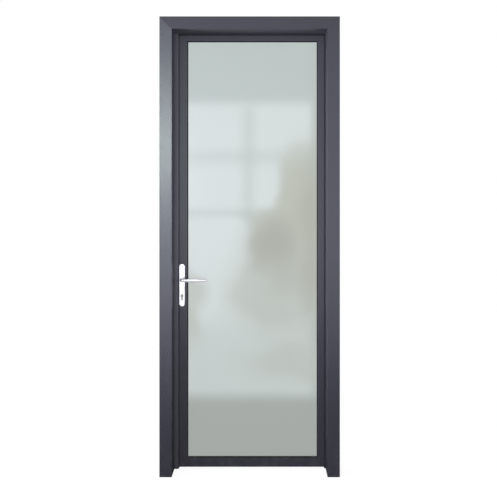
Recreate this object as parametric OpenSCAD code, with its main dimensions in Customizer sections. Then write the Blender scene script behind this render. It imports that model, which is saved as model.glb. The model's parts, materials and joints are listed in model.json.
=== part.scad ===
// Glazed entrance door: a slim aluminium leaf with one frosted pane, hung in a three-sided casing frame.
// The origin is on the floor under the middle of the frame. +X runs to the hinge side, +Y into the room
// that the leaf opens to, +Z up. Depths are measured back from the front face of the casing.

/* [Frame] */
// Overall width of the frame over its casings
overall_w = 940; // [860:1:1200]
// Overall height of the frame from the floor
overall_h = 2400; // [2000:1:2600]
// Width of the casing face around the opening
casing_w = 64; // [50:1:90]
// Thickness of the front and back casings
casing_t = 10; // [8:0.5:14]
// Depth of the frame from the front casing face to the back casing face
frame_depth = 162; // [156:1:200]
// Thickness of the hollow lining behind the casing
lining_t = 24; // [23:0.5:32]
// Depth of the rebate that the leaf closes into at the hinge side and the head
rebate_u = 16; // [15:0.5:18]
// Wall of the frame and leaf profiles
wall_t = 2; // [1.6:0.1:2.4]

/* [Stops and seals] */
// Depth of the frame behind the shoulder that the leaf closes against
back_depth = 52; // [51:0.5:52]
// Width of the stop strip on the strike jamb
stop_strip_w = 22; // [16:1:24]
// Thickness of the stop strip
stop_strip_t = 8; // [7:0.5:10]
// Thickness of the stop gaskets
stop_gasket_t = 2.7; // [2:0.1:2.8]
// Width of gasket that shows beyond the shoulder
gasket_fin = 8; // [3:0.5:8]
// Width of gasket that shows beyond the stop strip
strip_fin = 4; // [2:0.5:5]

/* [Leaf] */
// Thickness of the leaf
leaf_t = 45; // [42:1:50]
// Face width of the lock stile
stile_w = 61.5; // [57:0.5:73.5]
// Face width of the hinge stile
hinge_stile_w = 53; // [53:1:64]
// Face height of the two rails
rail_h = 48; // [40:1:90]
// Gap under the leaf
floor_gap = 7; // [5:1:15]
// Gap between the lock stile and the strike jamb
lock_gap = 6; // [5:0.5:6.5]
// Gap between the leaf and the rebate floor
hinge_gap = 4; // [4:0.5:5]
// Width of the glazing lip inside each stile and rail
lip_w = 11; // [10:0.5:13]
// Depth of the glazing lip
lip_t = 10; // [8:0.5:10]

/* [Glazing] */
// Thickness of the pane
glass_t = 8; // [6:1:8]
// Width of the pane's edge that the lip holds
glass_bite = 7; // [5:0.5:7.5]
// Thickness of the gasket in front of the pane
front_gasket_t = 4; // [3:0.5:4]
// Thickness of the gasket behind the pane
back_gasket_t = 3; // [2:0.5:4]
// Width of the front gasket that shows on the pane
glazing_fin = 5; // [2:0.5:7]

/* [Handle] */
// Distance from the leaf's lock edge to the lever axis
backset = 35; // [35:0.5:40]
// Height of the lever axis above the floor
lever_z = 1016; // [900:1:1100]
// Distance from the lever axis down to the key cylinder
cylinder_drop = 86; // [85:1:92]
// Width of the handle plates
plate_w = 28; // [26:1:34]
// Height of the handle plates
plate_h = 227; // [224:1:260]
// Thickness of the handle plates
plate_t = 9; // [8:0.5:12]
// Distance from the lever axis down to the middle of the plate
plate_drop = 30; // [22:1:30]
// Length of the lever from its axis to its tip
lever_len = 139; // [110:1:150]
// Distance from the leaf face to the middle of the lever's bar
lever_standoff = 51; // [45:1:60]
// Thickness of the lever's bar front to back
bar_t = 14; // [10:1:18]
// Height of the lever's bar at its middle
bar_h = 22; // [18:1:28]
// Radius of the lever's neck
neck_r = 8.5; // [7.5:0.5:9]
// Side of the square spindle
spindle_w = 8; // [7:0.5:8]

/* [Lock] */
// Height of the lock case
case_h = 162; // [156:1:168]
// Thickness of the lock case
case_t = 15; // [14:0.5:16]
// Length of the forend
forend_h = 236; // [230:1:250]
// Width of the forend
forend_w = 20; // [18:1:22]
// Thickness of the forend
forend_t = 3; // [2.5:0.5:3.5]
// How far the latch bolt stands out of the leaf
latch_out = 12; // [10:0.5:13]
// Height of the latch bolt
latch_h = 20; // [16:1:22]
// How far the dead bolt is thrown
bolt_throw = 20; // [15:1:21]
// Height of the dead bolt
bolt_h = 26; // [20:1:30]

/* [Hinges] */
// Length of each hinge
hinge_len = 125; // [110:1:150]
// Height of the lowest hinge's middle above the floor
low_hinge_z = 230; // [150:1:300]
// Distance from the leaf's top edge down to the top hinge's middle
top_hinge_drop = 238; // [150:1:300]
// Radius of the hinge knuckles
knuckle_r = 7; // [6:0.5:7.5]
// Radius of the hinge pins
pin_r = 3.5; // [3:0.25:4]
// Thickness of the hinge wings
wing_t = 3; // [2.5:0.25:3]

/* [Wall fixing] */
// Height of the lowest fixing hole in each jamb
low_anchor_z = 120; // [80:1:160]
// Height of the second fixing hole in each jamb
second_anchor_z = 700; // [500:1:800]
// Radius of the fixing holes
anchor_r = 4; // [3:0.25:4]

/* [Hidden] */
$fn = 48;
cut = 1;                                   // how far a cutter runs past the face it opens
close_fit = 0.3;                           // gap between pieces that only lie against each other
run_fit = 0.06;                            // radial clearance of a shaft in its bore

// the frame
clear_half = overall_w / 2 - casing_w;     // half of the opening between the linings
lining_z = overall_h - casing_w;           // underside of the head lining
back_v = frame_depth - casing_t;           // front face of the back casings
shoulder_v = frame_depth - back_depth;     // front of the rebate that holds the leaf
slot_v = 60;                               // where the slot for a back casing's tongue begins
tongue_v = shoulder_v + 12;                // front end of that tongue
slot_u = rebate_u + wall_t;                // inner side of the slot
slot_w = lining_t - slot_u - wall_t;       // width of the slot
key_arm = 150;                             // length of a corner key's arm

// feet and grooves that hold the stops and seals
foot_w = 3;                                // width of the grooves
foot_d = 3.2;                              // depth of the grooves
foot_edge = 4;                             // distance from a shoulder's or strip's edge to its groove
strip_v = shoulder_v - stop_strip_t;       // front face of the stop strip

// the leaf
leaf_v = shoulder_v + 3;                   // front face of the leaf
leaf_back_v = leaf_v + leaf_t;             // back face of the leaf
lock_x = -clear_half + lock_gap;           // lock edge of the leaf
hinge_x = clear_half + rebate_u - hinge_gap;    // hinge edge of the leaf
leaf_z = floor_gap;                        // lower edge of the leaf
leaf_top = lining_z + rebate_u - hinge_gap;     // upper edge of the leaf
stile_box = stile_w - lip_w;               // width of the lock stile's hollow box
hinge_box = hinge_stile_w - lip_w;         // width of the hinge stile's hollow box
rail_len = hinge_x - lock_x - stile_box - hinge_box;    // length of a rail between the boxes
sight_w = rail_len - 2 * lip_w;            // width between the stiles' inner edges
rail_box = rail_h - lip_w;                 // height of a rail's hollow box
glass_v = leaf_v + lip_t + front_gasket_t;      // front face of the pane
bead_v = glass_v + glass_t + back_gasket_t;     // where the glazing beads begin
edge_play = lip_w - glass_bite;            // gap between the pane's edge and the profile
corner_block_len = 70;
corner_bolt_r = 4;
corner_bolt_reach = 30;                    // how far a corner bolt runs into its block
corner_head_r = 6.5;
corner_head_t = 8;
gasket_inset = 0.5;                        // the pane reaches this far past its gaskets
gasket_lip_t = 1.6;                        // thickness of the front gasket's lip that shows
gasket_back_fin = 2;                       // width of the back gasket that shows
block_len = 100;                           // the setting blocks
block_overhang = 1.5;                      // how far they stand out past the pane's faces
bead_nose = 5;
bead_wall = 1.5;

// the handle
lever_reach = lever_standoff + bar_t / 2;  // how far a lever stands off the leaf
overall_depth = leaf_back_v + lever_reach;
front_y = -overall_depth / 2;              // places the origin in the middle of the depth
axis_x = lock_x + backset;
cylinder_z = lever_z - cylinder_drop;
plate_z = lever_z - plate_drop;            // middle of the plates
bolt_reach = (plate_h - plate_w) / 2;      // from a plate's middle to each of its bolts
plate_skin = 2;                            // metal left in front of the outer plate's threaded holes
spindle_hole_w = spindle_w + 0.1;
spindle_reach = 24;                        // how far the spindle stands out of each leaf face
grub_r = 2;
grub_y = plate_t + 5;                      // from the leaf face to the lever's grub screw
lock_v = leaf_v + leaf_t / 2;              // the plane that the lock works in

// the lock case
case_d = stile_box - wall_t - forend_t - 0.2;   // depth of the case
case_z = lever_z + 45 - case_h;            // lower side of the case
case_wall = 1.5;
case_play = 0.4;                           // gap between the key cylinder and the case
case_v = lock_v - case_t / 2;              // outer face of the case's tray
room_v = case_v + case_wall;               // inside of the tray
room_t = case_t - 2 * case_wall;
bolt_t = room_t - 0.8;                     // thickness of the latch and dead bolts
latch_z = lever_z + 17;                    // middle of the latch bolt
dead_z = lever_z - 45;                     // middle of the dead bolt
dead_len = 2 * bolt_throw;                 // length of the dead bolt, half of it still held when thrown
forend_z = lever_z - 32;                   // middle of the forend
lug_w = 30;                                // the blocks that the forend is screwed to
lug_h = 24;
lug_t = 8;
tail_t = 2.5;                              // thickness of the latch bolt's tail
tail_h = 12;
dead_tail_w = 6;                           // side of the dead bolt's tail that the cam drives
latch_head_len = 15;                       // length of the latch bolt's head inside the leaf
follower_arm_t = 8;
spring_r = 2.2;
spring_wire_r = 0.35;
spring_turns = 8;
hub_r = 7;                                 // radius of the follower
hub_boss_r = 6.3;                          // radius of its bearing bosses
arm_len = 17;                              // reach of the follower's arm
arm_r = 2;                                 // half width of the arm, and radius of the latch's pin
pin_dx = -7.5;                             // place of the latch's pin from the lever axis
pin_dz = 15;

// the key cylinder
cyl_r = 8.5;                               // radius of the cylinder's round part
cyl_stem = 10;                             // width of its stem
cyl_h = 33;                                // overall height of its profile
plug_r = 6.5;
cam_r = 13;                                // reach of the cam
cam_t = 9.6;
cam_play = 1;                              // room around the cam in the stile and the lock case
keyway_w = 2.4;
keyway_h = 9.2;
keyway_depth = 25;
plug_proud = 1.5;                          // how far the cylinder stands out of a plate

// the strike
strike_h = 180;
strike_w = 27;
strike_t = 2;
strike_lip_h = 40;                         // height of the lip that the latch bolt rides up on
strike_box_h = 106;
strike_box_w = 23;
strike_box_floor = 1;
strike_box_z = (latch_z + dead_z) / 2;     // middle of the strike box
strike_play = 1.5;                         // room around a bolt in the strike plate
strike_box_play = 3;                       // room around a bolt in the strike box

// the hinges
hinge_axis_u = rebate_u - 2;
hinge_axis_v = leaf_back_v + 11.5;
top_hinge_z = leaf_top - top_hinge_drop;
mid_hinge_z = (low_hinge_z + top_hinge_z) / 2;
hinge_heights = [low_hinge_z, mid_hinge_z, top_hinge_z];
mother_len = hinge_len * 0.29;             // length of each end knuckle
wing_v = leaf_v + 5;                       // front edge of the frame wings
wing_bridge = 6;                           // depth of the strip that joins a frame wing's two ears
pin_cap_t = 3;
screw_r = 2.5;
screw_head_r = 4.6;
screw_hole_r = screw_r + 0.1;              // hole that a screw passes with play
lock_screw_len = 14;                       // screws of the forend and the strike plate
leaf_screw_len = 15;
wing_screw_v = [leaf_v + 19, back_v - 4];
leaf_screw_v = leaf_v + 27;
leaf_screw_dz = [-17, 0, 17];

// the wall fixing
anchor_v = shoulder_v + 6;
anchor_heights = [low_anchor_z, second_anchor_z, lining_z - second_anchor_z, lining_z - low_anchor_z];

frame_colour = [0.22, 0.22, 0.25];
rubber_colour = [0.08, 0.08, 0.09];
steel_colour = [0.72, 0.72, 0.74];
satin_colour = [0.86, 0.86, 0.88];
brass_colour = [0.78, 0.68, 0.42];
glass_colour = [0.78, 0.83, 0.82, 0.6];

// ---------------------------------------------------------------- helpers

// moves children from depth measured behind the casing face to the row's own Y
module in_frame() translate([0, front_y, 0]) children();

// extrudes an outline drawn in X and Z from depth v0 to depth v1
module across_depth(v0, v1) translate([0, v1, 0]) rotate([90, 0, 0]) linear_extrude(v1 - v0) children();

// a round bar along Y from depth v0 to depth v1
module rod_y(x, z, r, v0, v1) translate([x, v0, z]) rotate([-90, 0, 0]) cylinder(r = r, h = v1 - v0);

// a round bar along +X
module rod_x(x0, x1, v, z, r) translate([x0, v, z]) rotate([0, 90, 0]) cylinder(r = r, h = x1 - x0);

// stands a section drawn in (u, v) up along a jamb: u runs outward from the lining of that jamb
module on_strike_side() translate([-clear_half, front_y, 0]) mirror([1, 0, 0]) children();
module on_hinge_side() translate([clear_half, front_y, 0]) children();

// lays a section drawn in (u, v) along the head, between x0 and x1
module along_head(x0, x1)
    translate([x1, front_y, lining_z]) rotate([0, -90, 0]) linear_extrude(x1 - x0) children();

// everything on the head's side of the mitre, in a jamb's own (u, z)
module mitre_cutter(v0, v1, from_u)
    across_depth(v0, v1)
        polygon([
            [-overall_w, lining_z + from_u], [from_u, lining_z + from_u],
            [casing_w + cut, overall_h + cut], [-overall_w, overall_h + cut]
        ]);

// the part of the head between its two mitres
module head_keeper()
    across_depth(front_y - cut, front_y + overall_depth)
        polygon([
            [-clear_half, lining_z], [clear_half, lining_z],
            [overall_w / 2, overall_h], [-overall_w / 2, overall_h]
        ]);

// an oblong with round ends, its long side along the second axis
module oblong(w, h) {
    square([w, h - w], center = true);
    for (side = [-1, 1]) translate([0, side * (h - w) / 2]) circle(w / 2);
}

// a countersunk screw along +X with its head's face at x = 0 and a hexagon socket
module countersunk_screw(r, head_r, length) rotate([0, 90, 0])
    difference() {
        union() {
            cylinder(r = r, h = length);
            cylinder(r1 = head_r, r2 = r, h = head_r - r);
        }
        translate([0, 0, -cut]) cylinder(r = r * 0.75, h = cut + head_r * 0.4, $fn = 6);
    }

// the hole that such a screw sits in
module countersunk_hole(r, head_r, length) rotate([0, 90, 0]) {
    translate([0, 0, -cut]) cylinder(r = r, h = length + cut);
    cylinder(r1 = head_r, r2 = r, h = head_r - r);
}

// ---------------------------------------------------------------- frame sections

// hollow jamb or head section: casing flange, lining and the slot for the back casing
module jamb_section(rebated) {
    room_end = rebated ? shoulder_v : back_v;
    difference() {
        union() {
            square([casing_w, casing_t]);
            square([lining_t, room_end]);
            translate([rebate_u, 0]) square([lining_t - rebate_u, back_v]);
        }
        translate([wall_t, wall_t]) square([casing_w - 2 * wall_t, casing_t - 2 * wall_t]);
        difference() {
            translate([wall_t, casing_t + wall_t])
                square([rebate_u - wall_t, room_end - casing_t - 2 * wall_t]);
            if (rebated) translate([foot_edge - wall_t, shoulder_v - foot_d - wall_t])
                square([foot_w + 2 * wall_t, foot_d + wall_t]);
            else translate([0, strip_v]) square([foot_d + wall_t, stop_strip_t]);
        }
        translate([slot_u, casing_t + wall_t]) square([slot_w, slot_v - casing_t - 2 * wall_t]);
        translate([slot_u, slot_v]) square([slot_w, back_v - slot_v + cut]);
        if (rebated) translate([foot_edge, shoulder_v - foot_d]) square([foot_w, foot_d + cut]);
        else translate([-cut, strip_v + (stop_strip_t - foot_w) / 2]) square([foot_d + cut, foot_w]);
    }
}

// back casing with the tongue that slides in the lining's slot
module back_casing_section(from_u) {
    difference() {
        translate([from_u, back_v]) square([casing_w - from_u, casing_t]);
        translate([from_u + wall_t, back_v + wall_t])
            square([casing_w - from_u - 2 * wall_t, casing_t - 2 * wall_t]);
    }
    translate([slot_u + close_fit, tongue_v]) square([slot_w - 2 * close_fit, back_v - tongue_v]);
}

// flat gasket with a foot in its groove; it runs fin past the edge that it seals
module stop_gasket_section(fin, base_w) {
    polygon([
        [-fin, shoulder_v + stop_gasket_t * 0.35], [0, shoulder_v],
        [foot_edge + 0.2, shoulder_v], [foot_edge + 0.2, shoulder_v - foot_d + 0.2],
        [foot_edge + foot_w - 0.2, shoulder_v - foot_d + 0.2], [foot_edge + foot_w - 0.2, shoulder_v],
        [base_w, shoulder_v], [base_w, shoulder_v + stop_gasket_t], [-fin, shoulder_v + stop_gasket_t]
    ]);
}

module anchor_holes()
    for (z = anchor_heights) rod_x(-cut, lining_t + cut, anchor_v, z, anchor_r);

// ---------------------------------------------------------------- frame pieces

module strike_jamb() color(frame_colour) on_strike_side()
    difference() {
        linear_extrude(overall_h) jamb_section(false);
        mitre_cutter(-cut, shoulder_v, 0);
        mitre_cutter(shoulder_v, frame_depth, rebate_u);
        anchor_holes();
        strike_pocket(close_fit);
        for (z = strike_screw_heights()) rod_x(-cut, wall_t + cut, lock_v, z, screw_r);
    }

module hinge_jamb() color(frame_colour) on_hinge_side()
    difference() {
        linear_extrude(overall_h) jamb_section(true);
        mitre_cutter(-cut, frame_depth, 0);
        anchor_holes();
        for (z = hinge_heights, side = [-1, 1], v = wing_screw_v)
            rod_x(rebate_u - cut, rebate_u + wall_t + cut, v, z + side * wing_screw_dz(), screw_r);
    }

module head_jamb() color(frame_colour) intersection() {
    along_head(-overall_w / 2, overall_w / 2) jamb_section(true);
    head_keeper();
}

// snap-in strip that carries the strike side's gasket
module stop_strip() color(frame_colour) on_strike_side() linear_extrude(lining_z)
    difference() {
        union() {
            translate([-stop_strip_w, strip_v]) square([stop_strip_w, stop_strip_t]);
            translate([0, strip_v + (stop_strip_t - foot_w) / 2 + 0.2]) square([foot_d - 0.2, foot_w - 0.4]);
        }
        translate([-stop_strip_w + foot_edge, shoulder_v - foot_d]) square([foot_w, foot_d + cut]);
        translate([-stop_strip_w + foot_edge + foot_w + wall_t, strip_v + wall_t])
            square([stop_strip_w - foot_edge - foot_w - 2 * wall_t, stop_strip_t - 2 * wall_t]);
    }

module back_casing_strike() color(frame_colour) on_strike_side() difference() {
    linear_extrude(overall_h) back_casing_section(0);
    mitre_cutter(shoulder_v, frame_depth + cut, rebate_u);
}

module back_casing_hinge() color(frame_colour) on_hinge_side() difference() {
    linear_extrude(overall_h) back_casing_section(rebate_u);
    mitre_cutter(shoulder_v, frame_depth + cut, 0);
}

module back_casing_head() color(frame_colour) intersection() {
    along_head(-overall_w / 2, overall_w / 2) back_casing_section(rebate_u);
    head_keeper();
}

// flat angles inside the casing flanges that hold the mitres together
module frame_corner_keys() color(steel_colour) {
    inset = wall_t + close_fit;
    arm_w = casing_w - 2 * inset;
    for (side = [-1, 1]) scale([side, 1, 1]) in_frame() across_depth(inset, casing_t - inset) {
        translate([overall_w / 2 - inset - arm_w, overall_h - inset - key_arm]) square([arm_w, key_arm]);
        translate([overall_w / 2 - inset - key_arm, overall_h - inset - arm_w]) square([key_arm, arm_w]);
    }
}

module stop_gasket_strike() color(rubber_colour) on_strike_side()
    translate([-stop_strip_w, 0, close_fit]) linear_extrude(lining_z - gasket_fin - 2 * close_fit)
        stop_gasket_section(strip_fin, stop_strip_w - wall_t);

module stop_gasket_hinge() color(rubber_colour) on_hinge_side() difference() {
    translate([0, 0, close_fit]) linear_extrude(overall_h) stop_gasket_section(gasket_fin, rebate_u - 4);
    mitre_cutter(shoulder_v - 2 * foot_d, leaf_v, -gasket_fin);
}

module stop_gasket_head() color(rubber_colour) intersection() {
    along_head(-clear_half + close_fit, overall_w / 2) stop_gasket_section(gasket_fin, rebate_u - 4);
    across_depth(front_y, front_y + overall_depth)
        polygon([
            [-clear_half, lining_z - casing_w], [clear_half - casing_w, lining_z - casing_w],
            [overall_w / 2, overall_h], [-clear_half, overall_h]
        ]);
}

// ---------------------------------------------------------------- strike

function strike_screw_heights() = [for (side = [-1, 1]) strike_box_z + side * (strike_h - strike_w) / 2];

// the pocket in the lining that takes the strike box
module strike_pocket(play)
    translate([-cut, lock_v - strike_box_w / 2 - play, strike_box_z - strike_box_h / 2 - play])
        cube([rebate_u + cut, strike_box_w + 2 * play, strike_box_h + 2 * play]);

// openings that a bolt passes through, centred at height z
module bolt_opening(z, height, play, x0, x1)
    translate([x0, lock_v - bolt_t / 2 - play, z - height / 2 - play])
        cube([x1 - x0, bolt_t + 2 * play, height + 2 * play]);

module strike_plate() color(steel_colour) on_strike_side() difference() {
    union() {
        translate([-strike_t, lock_v, strike_box_z]) rotate([0, 90, 0]) rotate([0, 0, 90])
            linear_extrude(strike_t) oblong(strike_w, strike_h);
        translate([-strike_t, lock_v, latch_z - strike_lip_h / 2])
            cube([strike_t, frame_depth - lock_v - strike_t, strike_lip_h]);
    }
    bolt_opening(latch_z, latch_h, strike_play, -strike_t - cut, cut);
    bolt_opening(dead_z, bolt_h, strike_play, -strike_t - cut, cut);
    for (z = strike_screw_heights())
        translate([-strike_t, lock_v, z]) countersunk_hole(screw_hole_r, screw_head_r, strike_t + cut);
}

module strike_box() color(steel_colour) on_strike_side() difference() {
    translate([0, lock_v - strike_box_w / 2, strike_box_z - strike_box_h / 2])
        cube([rebate_u, strike_box_w, strike_box_h]);
    bolt_opening(latch_z, latch_h, strike_box_play, -cut, rebate_u - strike_box_floor);
    bolt_opening(dead_z, bolt_h, strike_box_play, -cut, rebate_u - strike_box_floor);
}

module strike_screws() color(steel_colour) on_strike_side() for (z = strike_screw_heights())
    translate([-strike_t, lock_v, z]) countersunk_screw(screw_r, screw_head_r, lock_screw_len);

// ---------------------------------------------------------------- hinges

function wing_screw_dz() = hinge_len / 2 - mother_len / 2;

// frame wing of one hinge: two ears with the end knuckles, joined along the front edge
module frame_wing(z) color(satin_colour) on_hinge_side() translate([0, 0, z]) difference() {
    union() {
        translate([rebate_u - wing_t, wing_v, -hinge_len / 2])
            cube([wing_t, hinge_axis_v - wing_v, hinge_len]);
        translate([hinge_axis_u, hinge_axis_v, -hinge_len / 2]) cylinder(r = knuckle_r, h = hinge_len);
    }
    translate([-knuckle_r, wing_v + wing_bridge, mother_len - hinge_len / 2])
        cube([rebate_u + 3 * knuckle_r, hinge_axis_v, hinge_len - 2 * mother_len]);
    translate([hinge_axis_u, hinge_axis_v, -hinge_len]) cylinder(r = pin_r, h = 2 * hinge_len);
    for (side = [-1, 1], v = wing_screw_v)
        translate([rebate_u - wing_t, v, side * wing_screw_dz()])
            countersunk_hole(screw_hole_r, screw_head_r, wing_t + cut);
}

// leaf wing of one hinge: it nests between the ears
module leaf_wing(z) color(satin_colour) on_hinge_side() translate([0, 0, z]) difference() {
    child_len = hinge_len - 2 * mother_len - 1;
    leaf_u = rebate_u - hinge_gap;
    front_v = wing_v + wing_bridge + 1;
    union() {
        translate([leaf_u, front_v, -child_len / 2]) cube([wing_t, hinge_axis_v - front_v, child_len]);
        translate([hinge_axis_u, hinge_axis_v, -child_len / 2]) cylinder(r = knuckle_r, h = child_len);
    }
    translate([hinge_axis_u, hinge_axis_v, -hinge_len]) cylinder(r = pin_r + run_fit, h = 2 * hinge_len);
    for (dz = leaf_screw_dz) translate([leaf_u + wing_t, leaf_screw_v, dz]) mirror([1, 0, 0])
        countersunk_hole(screw_hole_r, screw_head_r, wing_t + cut);
}

// the pin with a cap at each end
module hinge_pin(z) color(steel_colour) on_hinge_side() translate([hinge_axis_u, hinge_axis_v, z]) {
    cylinder(r = pin_r, h = hinge_len + cut, center = true);
    for (side = [-1, 1]) translate([0, 0, side * (hinge_len + pin_cap_t) / 2])
        cylinder(r = knuckle_r - 1, h = pin_cap_t, center = true);
}

module hinge_low_frame_wing() frame_wing(low_hinge_z);
module hinge_mid_frame_wing() frame_wing(mid_hinge_z);
module hinge_top_frame_wing() frame_wing(top_hinge_z);
module hinge_low_leaf_wing() leaf_wing(low_hinge_z);
module hinge_mid_leaf_wing() leaf_wing(mid_hinge_z);
module hinge_top_leaf_wing() leaf_wing(top_hinge_z);
module hinge_low_pin() hinge_pin(low_hinge_z);
module hinge_mid_pin() hinge_pin(mid_hinge_z);
module hinge_top_pin() hinge_pin(top_hinge_z);

module hinge_frame_screws() color(steel_colour) on_hinge_side()
    for (z = hinge_heights, side = [-1, 1], v = wing_screw_v)
        translate([rebate_u - wing_t, v, z + side * wing_screw_dz()])
            countersunk_screw(screw_r, screw_head_r, wing_t + wall_t - close_fit);

module hinge_leaf_screws() color(steel_colour) on_hinge_side()
    for (z = hinge_heights, dz = leaf_screw_dz)
        translate([rebate_u - hinge_gap + wing_t, leaf_screw_v, z + dz])
            mirror([1, 0, 0]) countersunk_screw(screw_r, screw_head_r, leaf_screw_len);

// ---------------------------------------------------------------- leaf profiles

// hollow leaf section drawn in (s, t): s runs inward from the leaf's edge, t back from its front face
module leaf_section(face) {
    box_w = face - lip_w;
    difference() {
        union() {
            square([box_w, leaf_t]);
            square([face, lip_t]);
        }
        translate([wall_t, wall_t]) square([box_w - 2 * wall_t, leaf_t - 2 * wall_t]);
        translate([box_w, wall_t]) square([lip_w - wall_t, lip_t - 2 * wall_t]);
    }
}

// a full-height stile in its own (s, depth, z); its lip stops at the rails
module stile(face) difference() {
    box_w = face - lip_w;
    translate([0, leaf_v, leaf_z]) linear_extrude(leaf_top - leaf_z) leaf_section(face);
    for (z = [leaf_z - cut, leaf_top - rail_h])
        translate([box_w, leaf_v - cut, z]) cube([lip_w + cut, leaf_t, rail_h + cut]);
    for (z = corner_bolt_heights())
        rod_x(box_w - wall_t - cut, box_w + cut, lock_v, z, corner_bolt_r);
}

// puts a piece drawn in (s, depth, z) at the lock edge or the hinge edge of the leaf
module at_lock_edge() translate([lock_x, front_y, 0]) children();
module at_hinge_edge() translate([hinge_x, front_y, 0]) mirror([1, 0, 0]) children();

module lock_stile() color(frame_colour) at_lock_edge() difference() {
    stile(stile_w);
    translate([-cut, lock_v, forend_z]) rotate([0, 90, 0]) rotate([0, 0, 90])
        linear_extrude(wall_t + 2 * cut) oblong(forend_w + 0.2, forend_h + 0.2);
    rod_y(backset, lever_z, neck_r + 1.5, leaf_v - cut, leaf_back_v + cut);
    for (side = [-1, 1])
        rod_y(backset, plate_z + side * bolt_reach, screw_r + close_fit, leaf_v - cut, leaf_back_v + cut);
    translate([backset, 0, cylinder_z]) across_depth(leaf_v - cut, leaf_back_v + cut) cylinder_profile(0.5);
    cam_window(stile_box - wall_t - cut, stile_box + cut);
}

module hinge_stile() color(frame_colour) at_hinge_edge() difference() {
    stile(hinge_stile_w);
    for (z = hinge_heights, dz = leaf_screw_dz) rod_x(-cut, wall_t + cut, leaf_screw_v, z + dz, screw_r);
}

// a rail between the stiles' boxes, drawn up from z = 0
module rail() translate([hinge_x - hinge_box, leaf_v, 0]) rotate([0, -90, 0])
    linear_extrude(rail_len) leaf_section(rail_h);

module bottom_rail() color(frame_colour) translate([0, front_y, leaf_z]) rail();
module top_rail() color(frame_colour) translate([0, front_y, leaf_top]) mirror([0, 0, 1]) rail();

// ---------------------------------------------------------------- leaf corners

function corner_bolt_heights() = [leaf_z + rail_box / 2, leaf_top - rail_box / 2];

// blocks in the rails' ends, against a stile's box
module corner_blocks_one_side(box_w) for (z = corner_bolt_heights()) difference() {
    play = wall_t + close_fit;
    translate([box_w, leaf_v + play, z - rail_box / 2 + play])
        cube([corner_block_len, leaf_t - 2 * play, rail_box - 2 * play]);
    rod_x(box_w - cut, box_w + corner_block_len + cut, lock_v, z, corner_bolt_r);
}

// socket-head bolts from inside a stile's box into a block
module corner_bolts_one_side(box_w) for (z = corner_bolt_heights()) {
    head_x = box_w - wall_t - corner_head_t;
    socket_t = corner_head_t / 2;
    difference() {
        rod_x(head_x, box_w - wall_t, lock_v, z, corner_head_r);
        translate([head_x - cut, lock_v, z]) rotate([0, 90, 0])
            cylinder(r = corner_head_r / 2, h = cut + socket_t, $fn = 6);
    }
    rod_x(box_w - wall_t, box_w + corner_bolt_reach, lock_v, z, corner_bolt_r);
}

module leaf_corner_blocks() color(satin_colour) {
    at_lock_edge() corner_blocks_one_side(stile_box);
    at_hinge_edge() corner_blocks_one_side(hinge_box);
}

module corner_block_bolts() color(steel_colour) {
    at_lock_edge() corner_bolts_one_side(stile_box);
    at_hinge_edge() corner_bolts_one_side(hinge_box);
}

// ---------------------------------------------------------------- glazing

// the rectangle inside the leaf's profiles, grown by a margin all round, drawn in X and Z
module sight(grow)
    translate([lock_x + stile_w - grow, leaf_z + rail_h - grow])
        square([sight_w + 2 * grow, leaf_top - leaf_z - 2 * rail_h + 2 * grow]);

module glass_pane() color(glass_colour) in_frame()
    across_depth(glass_v, glass_v + glass_t) sight(glass_bite);

// plastic blocks that the pane stands on, and one each side that keeps it square
module setting_blocks() color(rubber_colour) in_frame() {
    block_w = glass_t + 2 * block_overhang;
    left = lock_x + stile_box;
    right = hinge_x - hinge_box;
    for (x = [left + block_len, right - 2 * block_len])
        translate([x, glass_v - block_overhang, leaf_z + rail_box]) cube([block_len, block_w, edge_play]);
    for (x = [left, right - edge_play])
        translate([x, glass_v - block_overhang, leaf_z + rail_h + block_len])
            cube([edge_play, block_w, block_len]);
}

module ring(inner, outer) difference() {
    sight(outer);
    sight(inner);
}

module front_glazing_gasket() color(rubber_colour) in_frame() {
    across_depth(glass_v - front_gasket_t, glass_v - gasket_lip_t) ring(0, glass_bite - gasket_inset);
    across_depth(glass_v - gasket_lip_t, glass_v) ring(-glazing_fin, glass_bite - gasket_inset);
}

module back_glazing_gasket() color(rubber_colour) in_frame()
    across_depth(glass_v + glass_t, bead_v) ring(-gasket_back_fin, glass_bite - gasket_inset);

// snap-in bead: a hollow box behind the pane with a nose that presses the gasket
module bead_section() {
    depth = leaf_back_v - bead_v;
    difference() {
        union() {
            translate([0, bead_nose]) square([lip_w, depth - bead_nose]);
            translate([edge_play, 0]) square([glass_bite, depth]);
        }
        translate([bead_wall, bead_nose + bead_wall])
            square([lip_w - 2 * bead_wall, depth - bead_nose - 2 * bead_wall]);
    }
}

module upright_bead(box_w) translate([box_w, bead_v, leaf_z + rail_h])
    linear_extrude(leaf_top - leaf_z - 2 * rail_h) bead_section();

module level_bead() translate([hinge_x - hinge_box, bead_v, rail_box]) rotate([0, -90, 0])
    linear_extrude(rail_len) bead_section();

module bead_lock() color(frame_colour) at_lock_edge() upright_bead(stile_box);
module bead_hinge() color(frame_colour) at_hinge_edge() upright_bead(hinge_box);
module bead_bottom() color(frame_colour) translate([0, front_y, leaf_z]) level_bead();
module bead_top() color(frame_colour) translate([0, front_y, leaf_top]) mirror([0, 0, 1]) level_bead();

// ---------------------------------------------------------------- lock

// keyhole-shaped outline of the key cylinder around its axis
module cylinder_profile(play) {
    circle(cyl_r + play);
    stem_z = cyl_r + cyl_stem / 2 - cyl_h;
    translate([-cyl_stem / 2 - play, stem_z]) square([cyl_stem + 2 * play, -stem_z]);
    translate([0, stem_z]) circle(cyl_stem / 2 + play);
}

// slot that the cam sweeps through, in (s, depth, z) from the lock edge
module cam_window(s0, s1)
    translate([s0, lock_v - cam_t / 2 - cam_play, cylinder_z - cam_r - cam_play])
        cube([s1 - s0, cam_t + 2 * cam_play, 2 * (cam_r + cam_play)]);

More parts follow.
